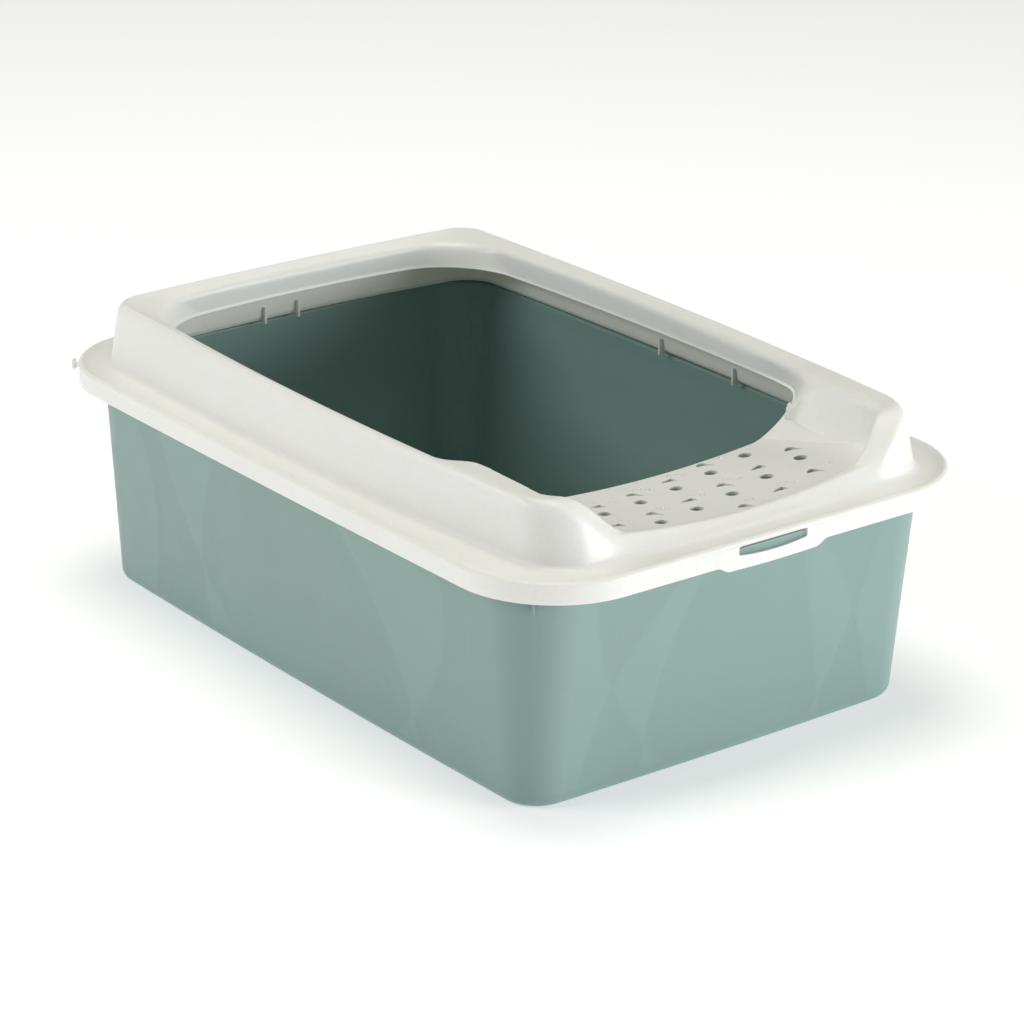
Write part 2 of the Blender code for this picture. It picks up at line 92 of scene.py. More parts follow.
# outlines of the two kinds of slot about their middle
SLOT_FLAT = ((-0.0049, 0.0004), (-0.0040, 0.0024), (-0.0015, 0.0042), (0.0009, 0.0041), (0.0027, 0.0021),
             (0.0035, -0.0015), (0.0048, -0.0056), (0.0020, -0.0034), (-0.0004, -0.0013), (-0.0031, -0.0004))
SLOT_ARCH = ((-0.0061, -0.0004), (-0.0040, 0.0011), (-0.0015, 0.0023), (0.0023, 0.0032), (0.0042, 0.0025),
             (0.0046, -0.0002), (0.0049, -0.0030), (0.0021, -0.0022), (-0.0010, -0.0013), (-0.0039, -0.0011))

TRAY_TOP_X, TRAY_TOP_Y, TRAY_TOP_R = 0.1662, 0.2556, 0.0390
TRAY_BASE_X, TRAY_BASE_FRONT, TRAY_BASE_REAR, TRAY_BASE_R = 0.1562, -0.2403, 0.2512, 0.0256
TRAY_BOW_X, TRAY_BOW_Y = 0.0028, 0.0021
TRAY_WALL, TRAY_FILLET = 0.0020, 0.008
TRAY_TAPER_Z = 0.148                    # height over which the taper is measured
TRAY_FLANGE_X, TRAY_FLANGE_Y, TRAY_FLANGE_R, TRAY_FLANGE_Z = 0.1784, 0.2754, 0.064, 0.1580
RELIEF_HIGH = 0.00030                   # height of the leaf relief on the walls
RELIEF_SOFT = 0.0012

LATCH_HALF, LATCH_LOW_HALF, LATCH_LOW, LATCH_TOP = 0.0440, 0.0340, 0.1437, 0.1592
FLANK_END, COLUMN_WIDE = 0.0600, 0.001  # the pieces of skirt beside the latch run from it to here
WINDOW_HALF, WINDOW_LOW, WINDOW_TOP = 0.0274, 0.1508, 0.1583
LUG_HALF, LUG_LOW, LUG_TOP, LUG_Y = 0.0262, 0.1505, 0.1566, 0.2782

GUSSET_LOW, GUSSET_T, GUSSET_LONG, GUSSET_AT = 0.1345, 0.0018, 0.0064, 0.0078
TAB_T, TAB_DEEP, TAB_LOW, TAB_TOP = 0.0018, 0.0042, 0.1588, 0.1708
TAB_IN_SIDE, TAB_IN_REAR = 0.0050, 0.0047
TABS_SIDE, TABS_REAR = (0.0236, -0.0545), (-0.0214, 0.0065)
PEG_WIDE, PEG_REACH, PEG_Z = 0.0036, 0.0072, 0.1536

# coarse stations: along an end, round a corner, and the shares of a long side
END_N, ARC_N = 12, 8
SIDE_AT = (0.032, 0.064, 0.096, 0.128, 0.160, 0.192, 0.230,
           0.31, 0.41, 0.51, 0.61, 0.71, 0.81, 0.91)

# leaf relief: each curve is three points, (along the wall, height)
LEAVES_END = (((-0.1144, 0.1343), (-0.0984, 0.0755), (-0.0521, 0.0088)),
              ((-0.0786, 0.1014), (-0.1075, 0.0507), (-0.1170, 0.0112)),
              ((-0.0467, 0.1071), (-0.0623, 0.0620), (-0.0700, 0.0141)),
              ((0.1119, 0.1294), (0.0967, 0.0764), (0.0854, 0.0481)),
              ((0.0874, 0.0950), (0.1023, 0.0607), (0.1095, 0.0394)),
              ((0.0512, 0.1182), (0.0590, 0.0835), (0.0668, 0.0489)))
LEAVES_SIDE = (((-0.1028, 0.0778), (-0.1215, 0.0400), (-0.1308, 0.0021)),
               ((-0.1665, 0.1080), (-0.1574, 0.0719), (-0.1213, 0.0229)),
               ((0.0950, 0.1190), (0.1120, 0.0640), (0.1090, 0.0100)),
               ((0.1500, 0.1180), (0.1260, 0.0700), (0.0840, 0.0180)),
               ((0.1750, 0.1100), (0.1700, 0.0560), (0.1820, 0.0120)))

# studio
FLOOR_HALF, FLOOR_GLOW, WORLD = 14.0, 0.38, 0.20
COOL, WARM = (0.965, 0.99, 1.0), (1.0, 0.98, 0.86)
LIGHTS = (("key", (2.0, -3.0, 0.70), (2.2, 1.0), 78.0, COOL),
          ("fill", (-3.0, 1.3, 1.90), (2.2, 1.1), 46.0, COOL),
          ("top", (0.0, 0.1, 2.6), (1.3, 1.3), 27.0, WARM))
CAMERA_TURN, CAMERA_RISE, CAMERA_FAR, CAMERA_LENS = -36.827, 21.283, 2.3766, 125.9
CAMERA_TARGET = (0.00387, -0.01251, 0.09025)


# ---------------------------------------------------------------- outlines
def stations(arc_k, rear_k, side_k, front_k, front_arc_k):
    """Places round a bowed rectangle: (is arc, corner or side, share, coarse place)."""
    even = [i / END_N for i in range(END_N + 1)]
    sides = [0.0, *SIDE_AT, 1.0]
    back = [1.0 - t for t in reversed(sides)]
    found = []
    place = 0
    plans = ((even, rear_k, arc_k), (back, side_k, arc_k),
             (even, front_k, front_arc_k), (sides, side_k, front_arc_k))
    for corner, (marks, k, arc) in enumerate(plans):
        for i in range(ARC_N * arc):
            found.append((True, corner, i / (ARC_N * arc), place + i / arc))
        place += ARC_N
        for j in range(len(marks) - 1):
            for i in range(k):
                f = i / k
                found.append((False, corner, marks[j] + (marks[j + 1] - marks[j]) * f, place + j + f))
        place += len(marks) - 1
    return found


def even_stations(arc_n, end_n, side_n):
    """The same places with equal steps, for outlines that need no coarse place."""
    found = []
    for corner, n in enumerate((end_n, side_n, end_n, side_n)):
        found.extend((True, corner, i / arc_n, 0.0) for i in range(arc_n))
        found.extend((False, corner, i / n, 0.0) for i in range(n))
    return found


def bowed(spots, a, front, rear, radius, bow_x, bow_front, bow_rear, arc_front=None):
    """Points of a rounded rectangle with bowed sides, anticlockwise from +X.

    The half sizes hold at mid side, and the bows draw the corners in.
    bow_x is one number, or a pair for the front and rear halves.
    """
    mid, half = 0.5 * (front + rear), 0.5 * (rear - front)
    ends = bow_x if isinstance(bow_x, tuple) else (bow_x, bow_x)
    corners = ((1, 1, bow_rear, radius), (-1, 1, bow_rear, radius),
               (-1, -1, bow_front, arc_front or radius), (1, -1, bow_front, arc_front or radius))

    def arc_point(k, t):
        sx, sy, bow, r = corners[k % 4]
        w = math.radians(90.0 * (k % 4 + t))
        return sx * (a - r) + r * math.cos(w), sy * (half - bow - r) + r * math.sin(w)

    out = []
    for is_arc, k, t, _ in spots:
        if is_arc:
            x, y = arc_point(k, t)
        else:
            (x0, y0), (x1, y1) = arc_point(k, 1.0), arc_point(k + 1, 0.0)
            x, y = x0 + (x1 - x0) * t, y0 + (y1 - y0) * t
        bow = bow_rear if y > 0 else bow_front
        fx = 1.0 - ends[y > 0] / a * (y / half) ** 2
        fy = 1.0 + bow / (half - bow) * (1.0 - (x / a) ** 2)
        out.append((x * fx, y * fy + mid))
    return np.array(out)


def level(ring, z):
    """Lift a flat outline to height z."""
    return np.column_stack([ring, np.full(len(ring), z)])


def smooth(t):
    """Ease from 0 to 1, level at both ends."""
    t = min(max(t, 0.0), 1.0)
    return t * t * (3.0 - 2.0 * t)


def spline(p0, p1, p2, p3, f):
    """Point at share f between p1 and p2 of a curve through four points."""
    cubic = 3 * (p1 - p2) + p3 - p0
    return p1 + 0.5 * f * (p2 - p0 + f * (2 * p0 - 5 * p1 + 4 * p2 - p3 + f * cubic))


def curve_at(points, s):
    """Smooth curve through points, at index s."""
    n = len(points)
    i = min(max(int(s), 0), n - 2)
    f = min(max(s - i, 0.0), 1.0)
    near = (np.array(points[min(max(j, 0), n - 1)]) for j in (i - 1, i, i + 1, i + 2))
    return tuple(spline(*near, f))


def remap(s, knots):
    """Piecewise linear map through (from, to) pairs."""
    for (a, fa), (b, fb) in zip(knots, knots[1:]):
        if s <= b:
            return fa + (fb - fa) * (s - a) / (b - a)
    return knots[-1][1]


# ---------------------------------------------------------------- meshes
def section(rings, cuts, bends, flats):
    """Skin rows through rings, each inner ring rounded off by its cut."""
    rows = [rings[0]]
    for i in range(1, len(rings) - 1):
        to_last, to_next = rings[i - 1] - rings[i], rings[i + 1] - rings[i]
        la = np.linalg.norm(to_last, axis=1)[:, None] + 1e-9
        lc = np.linalg.norm(to_next, axis=1)[:, None] + 1e-9
        d = np.minimum(cuts[i], 0.46 * np.minimum(la, lc))
        a, c = rings[i] + to_last / la * d, rings[i] + to_next / lc * d
        start = rows[-1]
        rows.extend(start + (a - start) * j / flats[i - 1] for j in range(1, flats[i - 1]))
        for j in range(bends[i] + 1):
            t = j / bends[i]
            rows.append(a * (1 - t) ** 2 + 2 * rings[i] * t * (1 - t) + c * t * t)
    start = rows[-1]
    rows.extend(start + (rings[-1] - start) * j / flats[-1] for j in range(1, flats[-1] + 1))
    return np.array(rows)


def grid_normals(rows):
    """Outward unit normals of a grid of closed rings."""
    around = np.roll(rows, -1, axis=1) - np.roll(rows, 1, axis=1)
    along = np.gradient(rows, axis=0)
    n = np.cross(around, along)
    return n / (np.linalg.norm(n, axis=2)[:, :, None] + 1e-12)


def edge_rows(a, b, bulge, steps=4):
    """Half-round rows between two edges, from a to b, standing out by bulge."""
    mid, arm = 0.5 * (a + b), 0.5 * (a - b)
    out = []
    for j in range(1, steps):
        t = math.pi * j / steps
        out.append(mid + arm * math.cos(t) + bulge * math.sin(t))
    return out


def skin(name, rows, close_rows=False, cap_first=False, cap_last=False, flip=False):
    """Mesh over closed rings; close_rows joins the last ring to the first."""
    count, n = len(rows), len(rows[0])
    verts = np.concatenate(rows)
    faces = []
    for r in range(count if close_rows else count - 1):
        s = (r + 1) % count
        for i in range(n):
            j = (i + 1) % n
            quad = (r * n + i, r * n + j, s * n + j, s * n + i)
            faces.append(tuple(reversed(quad)) if flip else quad)
    if cap_first:
        faces.append(tuple(range(n)) if flip else tuple(range(n - 1, -1, -1)))
    if cap_last:
        last = (count - 1) * n
        faces.append(tuple(range(last + n - 1, last - 1, -1)) if flip else tuple(range(last, last + n)))
    me = bpy.data.meshes.new(name)
    me.from_pydata(verts.tolist(), [], faces)
    me.update()
    return me


def add(name, me, mats, angle=32.0):
    """Object with smooth shading, sharp only across edges steeper than angle."""
    ob = bpy.data.objects.new(name, me)
    bpy.context.scene.collection.objects.link(ob)
    for mat in mats:
        me.materials.append(mat)
    me.polygons.foreach_set("use_smooth", [True] * len(me.polygons))
    me.set_sharp_from_angle(angle=math.radians(angle))
    return ob


def mesh_from(bm, name):
    bmesh.ops.recalc_face_normals(bm, faces=bm.faces)
    me = bpy.data.meshes.new(name)
    bm.to_mesh(me)
    bm.free()
    return me


def cut(ob, tool_me, kind='DIFFERENCE'):
    """Boolean ob with a closed mesh, and keep the result as its mesh."""
    other = bpy.data.objects.new("cutter", tool_me)
    bpy.context.scene.collection.objects.link(other)
    mod = ob.modifiers.new("cut", 'BOOLEAN')
    mod.operation, mod.solver, mod.object = kind, 'EXACT', other
    dg = bpy.context.evaluated_depsgraph_get()
    me = bpy.data.meshes.new_from_object(ob.evaluated_get(dg))
    ob.modifiers.remove(mod)
    old = ob.data
    ob.data = me
    bpy.data.meshes.remove(old)
    bpy.data.objects.remove(other)
    bpy.data.meshes.remove(tool_me)


def soft_box(bm, size, matrix, radius=0.0004, steps=3):
    """Box with rounded edges."""
    found = bmesh.ops.create_cube(bm, size=1.0)["verts"]
    bmesh.ops.scale(bm, vec=size, verts=found)
    edges = list({e for v in found for e in v.link_edges})
    made = bmesh.ops.bevel(bm, geom=edges, offset=radius, segments=steps, profile=0.5, affect='EDGES')
    bmesh.ops.transform(bm, matrix=matrix, verts=made["verts"])


# ---------------------------------------------------------------- rim form
def tread_z(x, y):
    """Tread surface: dished across, and climbing towards the front."""
    return TREAD_Z + TREAD_DISH * x * x + TREAD_RISE * max(TREAD_REAR - y, 0.0)


def dip(x):
    """0 across the lowered front, 1 where the crest is at full height."""
    return smooth((abs(x) - DIP_IN) / (DIP_OUT - DIP_IN))


def crest_z(x, y):
    """Crest height: level along the sides, an S-curve down to the entry."""
    full = CREST_Z + CREST_RISE * y
    if y > DIP_FRONT_OF:
        return full
    low = FRONT_LIP_Z + LIP_DISH * x * x
    return low + (full - low) * dip(x)


def crest_ring(spots):
    """Crest line; the lowered front stands further forward than the corners."""
    plan = bowed(spots, CREST_X, CREST_FRONT, CREST_REAR, CREST_R_REAR, CREST_BOW_X,
                 CREST_BOW_FRONT, CREST_BOW_REAR, CREST_R_FRONT)
    forward = [LIP_OUT * (1.0 - dip(x)) if y < DIP_FRONT_OF else 0.0 for x, y in plan]
    return np.array([(x, y - out, crest_z(x, y)) for (x, y), out in zip(plan, forward)])


def opening_z(x, y):
    """Height of the free edge of the opening and the tread."""
    if y > LEVEL_BEHIND:
        return OPENING_Z
    low = tread_z(x, y)
    return low + (OPENING_Z - low) * smooth((abs(x) - RISE_FROM) / RISE_OVER)


def edge_path():
    """Free edge of the tread from the side to the centre line (+X half)."""
    r, x1 = TREAD_CORNER, OPENING_X - 0.0022
    pts = []
    for i in range(9):
        t = math.radians(90.0 * i / 8)
        pts.append((x1 - r + r * math.cos(t), TREAD_REAR + r - r * math.sin(t)))
    n = 9
    for i in range(1, n + 1):
        pts.append(((x1 - r) * (1 - i / n), TREAD_REAR))
    return pts


def foot_path():
    """Foot of the side slope, then the front edge of the tread (+X half)."""
    r, x1 = TREAD_CORNER + FOOT_STEP, OPENING_X - 0.0010
    pts = []
    for i in range(5):
        t = math.radians(56.0 * i / 4)
        pts.append((x1 - r + r * math.cos(t), TREAD_REAR + r - FOOT_STEP - r * math.sin(t)))
    pts.append((FOOT_REAR_X + 0.0004, FOOT_REAR_Y + 0.0006))
    for i in range(1, 5):
        f = i / 4
        pts.append((FOOT_REAR_X + (FOOT_FRONT_X - FOOT_REAR_X) * f,
                    FOOT_REAR_Y + (FOOT_FRONT_Y - FOOT_REAR_Y) * f))
    x2 = FOOT_FRONT_X - FOOT_CORNER
    for i in range(1, 4):
        t = math.radians(90.0 * i / 3)
        pts.append((x2 + FOOT_CORNER * math.cos(t), FOOT_FRONT_Y - FOOT_CORNER * math.sin(t)))
    for i in range(1, 6):
        x = x2 * (1 - i / 5)
        pts.append((x, TREAD_FRONT + 0.0035 * (x / x2) ** 2))
    return pts


def foot_z(x, y):
    """Height of the foot line, just above the free edge beside the tread."""
    if y > TREAD_REAR - 0.0020:
        return opening_z(x, y) + 0.0006
    return tread_z(x, y)


def shoulder_front(x, y, z, sx):
    """Inner edge of the flat top beside and along the entry."""
    side = 1.0 if x > 0 else -1.0
    h = smooth((BAND_FROM - y) / BAND_OVER)
    px = abs(sx) + (STEP_X - abs(sx)) * h
    pz = z - SHOULDER_DROP * (1.0 - h) - 0.0008 * h
    near = smooth((LIP_FROM - y) / LIP_OVER)
    qx = min(STEP_X, abs(x) * 0.905 + 0.0005)
    return (side * (px + (qx - px) * near), y + LIP_WIDE * near, pz - 0.0004 * near)


def inner_rings(spots, crest):
    """Shoulder, foot and free-edge rings that belong to the crest ring."""
    wide = bowed(spots, SHOULDER_X, INNER_FRONT, SHOULDER_REAR, SHOULDER_R,
                 INNER_BOW_X, 0.0, SHOULDER_BOW_REAR, INNER_R_FRONT)
    lip = bowed(spots, OPENING_X, INNER_FRONT, OPENING_REAR, OPENING_R,
                OPENING_BOW, 0.0, OPENING_BOW_REAR, INNER_R_FRONT)
    place = [s[3] for s in spots]
    whole = [p for p, c in zip(place, crest)
             if abs(p - round(p)) < 1e-6 and c[1] < TREAD_ENDS_AT]
    first, last = min(whole), max(whole)
    half = (last - first) / 2.0
    feet, rims = foot_path(), edge_path()
    to_foot = ((0, 0), (7, 9), (7 + ARC_N, 12), (half, 17))
    to_edge = ((0, 0), (3.2, 5), (half, 17))
    shoulder, foot, edge = [], [], []
    for i, (x, y, z) in enumerate(crest):
        (sx, sy), (lx, ly) = wide[i], lip[i]
        s = half - abs(place[i] - first - half)
        out = np.array([(sx, sy, z - SHOULDER_DROP),
                        (lx * 1.004, ly * 1.003, OPENING_Z + 0.0016),
                        (lx, ly, OPENING_Z)])
        if s <= -1.0:
            both = out
        else:
            side, at = (1.0 if x > 0 else -1.0), max(s, 0.0)
            fx, fy = curve_at(feet, remap(at, to_foot))
            ex, ey = curve_at(rims, remap(at, to_edge))
            both = np.array([shoulder_front(x, y, z, sx), (side * fx, fy, foot_z(fx, fy)),
                             (side * ex, ey, opening_z(ex, ey))])
            if s < 0.0:
                both = both * (1.0 + s) - out * s
        for ring, point in zip((shoulder, foot, edge), both):
            ring.append(point)
    return np.array(shoulder), np.array(foot), np.array(edge)


def make_rim(mats):
    """Outer surface lofted through rings, an inner one under it, joined at both edges."""
    spots = stations(4, 6, 5, 14, 6)

    def flange_in(d, z):
        return level(bowed(spots, FLANGE_X - d, -FLANGE_Y + d, FLANGE_Y - d, FLANGE_R - d,
                           FLANGE_BOW, FLANGE_BOW_Y, FLANGE_BOW_Y), z)

    def base_in(d, z):
        return level(bowed(spots, BASE_X - d, BASE_FRONT + d, BASE_REAR - d, BASE_R_REAR - 0.3 * d,
                           BASE_BOW_X, BASE_BOW_FRONT, BASE_BOW_REAR, BASE_R_FRONT - 0.3 * d), z)

    crest = crest_ring(spots)
    foot_wall = base_in(0.0012, LEDGE_IN + 0.0016)
    rise = (crest - foot_wall)[:, 2]
    drop = np.maximum(np.minimum(WALL_DROP, 0.45 * rise), 0.0002)
    wall_top = crest + (foot_wall - crest) * WALL_BEND
    wall_top[:, 2] = crest[:, 2] - drop
    outward = foot_wall - crest
    outward[:, 2] = 0.0
    outward /= np.linalg.norm(outward, axis=1)[:, None]
    tall = np.clip(rise / 0.030, 0.0, 1.0)[:, None]
    crease = foot_wall + (wall_top - foot_wall) * CREASE_AT + outward * CREASE_OUT * tall
    shoulder, foot, edge = inner_rings(spots, crest)
    rings = [flange_in(0.0, SKIRT_LOW), flange_in(0.0, SKIRT_TOP + 0.0010),
             flange_in(0.0022, BEAD_TOP + 0.0004), flange_in(0.0062, LEDGE_OUT),
             base_in(-0.0016, LEDGE_IN - 0.0001), foot_wall + [0, 0, 0.0004],
             crease, wall_top, crest, shoulder, foot, edge]
    # how far from each ring its rounding starts, and the steps round it and to the next
    cuts = [0, 0.0009, 0.0016, 0.0016, 0.0018, 0.0018, 0.0020, 0.0040, 0.0060, 0.0055, 0.0050, 0]
    bends = [0, 4, 6, 4, 5, 4, 3, 5, 8, 8, 7, 0]
    flats = [6, 1, 2, 3, 1, 5, 5, 2, 4, 6, 46]
    outer = section(rings, cuts, bends, flats)
    under = section([flange_in(WALL, SKIRT_LOW), flange_in(WALL, LEDGE_OUT - 0.0016),
                     base_in(0.0002, LEDGE_IN - WALL - 0.0002), base_in(0.0034, LEDGE_IN + 0.0020)],
                    [0, 0.0012, 0.0045, 0], [0, 3, 6, 0], [3, 4, 2])
    wall_from = 3 + sum(flats[:5]) + sum(bends[1:6])     # first row above the foot's rounding
    top = outer - WALL * grid_normals(outer)
    inner = np.concatenate([under, top[wall_from:]])
    tip = outer[-1] - outer[-3]
    tip = tip / (np.linalg.norm(tip, axis=1)[:, None] + 1e-9) * 0.0006
    loop = [*outer, *edge_rows(outer[-1], inner[-1], tip), *inner[::-1]]
    me = skin("rim", np.array(loop), close_rows=True)
    ob = add("high_rim_shell", me, mats)
    mark_tread(ob)
    return ob


def mark_tread(ob):
    """The tread's upper face takes the second material: rougher, and painted greyer as shade of its textured
    face.
    """
    for poly in ob.data.polygons:
        x, y, z = poly.center
        inside = abs(x) < 0.128 and TREAD_FRONT + 0.001 < y < TREAD_REAR + 0.0006
        if inside and poly.normal.z > 0.72 and abs(z - tread_z(x, y)) < 0.0012:
            poly.material_index = 1


def hole_points():
    """Centres of the round drains, and of the slots with their kind."""
    rounds, slots = [], []
    for k in range(5):
        ax, ay = HOLE_START[0] + k * HOLE_STEP[0], HOLE_START[1] + k * HOLE_STEP[1]
        bx, by = ax + HOLE_ROW[0], ay + HOLE_ROW[1]
        rounds += [(ax, ay), (bx, by)]
        if k < 4:
            slots.append((ax + SLOT_BEHIND[0], ay + SLOT_BEHIND[1], k % 2))
        slots.append((ax + SLOT_BEFORE[0], ay + SLOT_BEFORE[1], k % 2))
        if k > 1:
            slots.append((bx + SLOT_BEFORE[0], by + SLOT_BEFORE[1], (k + 1) % 2))
    slots.append((HOLE_START[0] + 5 * HOLE_STEP[0] + SLOT_BEFORE[0],
                  HOLE_START[1] + 5 * HOLE_STEP[1] + SLOT_BEFORE[1], 1))
    return rounds, slots


def closed_curve(points, per=5):
    """Smooth closed outline through points, per steps from one to the next."""
    n = len(points)
    out = []
    for i in range(n):
        p = [np.array(points[(i + j - 1) % n]) for j in range(4)]
        out.extend(spline(*p, k / per) for k in range(per))
    return out


def prism(bm, outline, z0, z1):
    """Closed upright prism over an outline."""
    low = [bm.verts.new((x, y, z0)) for x, y in outline]
    top = [bm.verts.new((x, y, z1)) for x, y in outline]
    n = len(outline)
    bm.faces.new(list(reversed(low)))
    bm.faces.new(top)
    for i in range(n):
        j = (i + 1) % n
        bm.faces.new((low[i], low[j], top[j], top[i]))


def drill_tread(ob):
    """Cut the round drains and the slots through the tread."""
    rounds, slots = hole_points()
    bm = bmesh.new()
    for x, y in rounds:
        ring = [(x + 0.5 * HOLE_WIDE * math.cos(t), y + 0.5 * HOLE_DEEP * math.sin(t))
                for t in np.linspace(0, 2 * math.pi, 28, endpoint=False)]
        prism(bm, ring, TREAD_Z - 0.010, TREAD_Z + 0.020)
    for x, y, flat in slots:
        shape = closed_curve(SLOT_FLAT if flat else SLOT_ARCH)
        prism(bm, [(x + u, y + v) for u, v in reversed(shape)], TREAD_Z - 0.010, TREAD_Z + 0.020)
    cut(ob, mesh_from(bm, "holes"))


def notch_skirt(ob):
    """Room for the panels round each latch."""
    top = LATCH_TOP - 0.0004
    for side in (-1, 1):
        bm = bmesh.new()
        bmesh.ops.create_cube(bm, size=1.0)
        size = (2 * FLANK_END, 0.0060, top - 0.1400)
        bmesh.ops.scale(bm, vec=size, verts=bm.verts)
        bmesh.ops.translate(bm, vec=(0, side * 0.2804, 0.5 * (top + 0.1400)), verts=bm.verts)
        cut(ob, mesh_from(bm, "notch"))


# ---------------------------------------------------------------- latches
def skirt_y(x):
    """Distance of the skirt's outer face from the middle, at x."""
    drawn = FLANGE_Y - FLANGE_BOW_Y
    return drawn * (1.0 + FLANGE_BOW_Y / drawn * (1.0 - (x / FLANGE_X) ** 2))


def panel_low(x):
    """Lower edge of the skirt round a latch."""
    t = (abs(x) - LATCH_LOW_HALF) / (LATCH_HALF - LATCH_LOW_HALF)
    flat = LATCH_LOW + 0.0003 * (x / LATCH_LOW_HALF) ** 2
    return flat + (SKIRT_LOW - flat) * smooth(t)


def window_low(x):
    """Top of the bar under the window: it sags towards the middle."""
    u = min(abs(x) / WINDOW_HALF, 1.0)
    return WINDOW_LOW + 0.0020 * u ** 2 + 0.0006 * smooth((u - 0.92) / 0.08)


def window_high(x):
    """Top edge of the window, eased down at its ends."""
    u = min(abs(x) / WINDOW_HALF, 1.0)
    return WINDOW_TOP - 0.0006 * smooth((u - 0.93) / 0.07)


def make_panel(name, side, x0, x1, columns, mat):
    """Piece of skirt with the window, a grid with thickness."""
    xs = [x0 + (x1 - x0) * i / columns for i in range(columns + 1)]
    top = LATCH_TOP - 0.0004
    splits = (6, 8, 3)
    bm = bmesh.new()
    front, back = [], []
    for x in xs:
        marks = (panel_low(x), window_low(x), window_high(x), top)
        zs = [marks[0]]
        for k, n in enumerate(splits):
            zs += [marks[k] + (marks[k + 1] - marks[k]) * j / n for j in range(1, n + 1)]
        y = skirt_y(x)
        bar = max(0.0, 1.0 - (x / (1.12 * WINDOW_HALF)) ** 2)
        f_col, b_col = [], []
        for z in zs:
            out = 0.0005 * bar * smooth((marks[1] + 0.0004 - z) / 0.002)
            f_col.append(bm.verts.new((x, side * (y + out), z)))
            b_col.append(bm.verts.new((x, side * (y - WALL + out), z)))
        front.append(f_col)
        back.append(b_col)
    rows = sum(splits)

    def solid(i, j):
        if not (0 <= i < columns and 0 <= j < rows):
            return False
        mid = 0.5 * (xs[i] + xs[i + 1])
        return not (abs(mid) < WINDOW_HALF and splits[0] <= j < splits[0] + splits[1])

    for i in range(columns):
        for j in range(rows):
            if not solid(i, j):
                continue
            f = (front[i][j], front[i + 1][j], front[i + 1][j + 1], front[i][j + 1])
            b = (back[i][j], back[i][j + 1], back[i + 1][j + 1], back[i + 1][j])
            bm.faces.new(f)
            bm.faces.new(b)
            round_cell = (((i, j), (i + 1, j), solid(i, j - 1)),
                          ((i + 1, j), (i + 1, j + 1), solid(i + 1, j)),
                          ((i + 1, j + 1), (i, j + 1), solid(i, j + 1)),
                          ((i, j + 1), (i, j), solid(i - 1, j)))
            for (ai, aj), (ci, cj), joined in round_cell:
                if not joined:
                    bm.faces.new((front[ci][cj], front[ai][aj], back[ai][aj], back[ci][cj]))
    for v in [v for v in bm.verts if not v.link_faces]:
        bm.verts.remove(v)
    return add(name, mesh_from(bm, name), [mat], angle=40.0)


def make_latch(node, side, body, mat):
    """Windowed flap, with a piece of skirt at each end."""
    columns = round(2 * LATCH_HALF / COLUMN_WIDE)
    panel = make_panel(node + "_panel", side, -LATCH_HALF, LATCH_HALF, columns, mat)
    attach(panel, body)
    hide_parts(node)
    for word, sx in (("left", -1), ("right", 1)):
        a, b = sx * LATCH_HALF, sx * FLANK_END
        flank = make_panel(node + "_flank_" + word, side, min(a, b), max(a, b), 24, mat)
        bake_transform(flank)


# ---------------------------------------------------------------- small rim parts
def make_blades(mat):
    """Thin locating blades under the collar, inside the tray wall."""
    bm = bmesh.new()
    high, zc = TAB_TOP - TAB_LOW, 0.5 * (TAB_TOP + TAB_LOW)
    for s in (1, -1):
        for y in TABS_SIDE:
            soft_box(bm, (TAB_DEEP, TAB_T, high), Matrix.Translation((s * (BASE_X - TAB_IN_SIDE), y, zc)))
    for x in TABS_REAR:
        soft_box(bm, (TAB_T, TAB_DEEP, high), Matrix.Translation((x, BASE_REAR - TAB_IN_REAR, zc)))
    return add("rim_blades", mesh_from(bm, "blades"), [mat])


def make_peg(mat):
    """Small peg on the rear left corner of the skirt."""
    at = Vector((-FLANGE_X + FLANGE_R * 0.305, FLANGE_Y - FLANGE_R * 0.315, 0.0))
    turn = Matrix.Translation(at) @ Matrix.Rotation(math.radians(135), 4, 'Z')
    bm = bmesh.new()
    soft_box(bm, (PEG_REACH - 0.0014 + 0.0012, PEG_WIDE * 0.8, 0.0030),
             turn @ Matrix.Translation((0.5 * (PEG_REACH - 0.0014) - 0.0006, 0, PEG_Z - 0.0006)), 0.0006)
    soft_box(bm, (0.0028, PEG_WIDE, 0.0074),
             turn @ Matrix.Translation((PEG_REACH - 0.0014, 0, PEG_Z)), 0.0009, 4)
    return add("rim_peg", mesh_from(bm, "peg"), [mat])


def bead(bm, points, radius, sides=8):
    """Closed round bar along points, with pointed ends."""
    pts = [Vector(p) for p in points]
    rings = []
    for i, p in enumerate(pts):
        d = (pts[min(i + 1, len(pts) - 1)] - pts[max(i - 1, 0)]).normalized()
        side = d.cross(Vector((0, 0, 1))).normalized()
        up = side.cross(d).normalized()
        taper = math.sqrt(max(0.0, 1.0 - (2.0 * i / (len(pts) - 1) - 1.0) ** 4)) * 0.85 + 0.15
        r = radius * taper
        rings.append([bm.verts.new(p + side * r * math.cos(t) + up * r * math.sin(t))
                      for t in np.linspace(0, 2 * math.pi, sides, endpoint=False)])
    for a, b in zip(rings, rings[1:]):
        for i in range(sides):
            j = (i + 1) % sides
            bm.faces.new((a[i], a[j], b[j], b[i]))
    bm.faces.new(list(reversed(rings[0])))
    bm.faces.new(rings[-1])


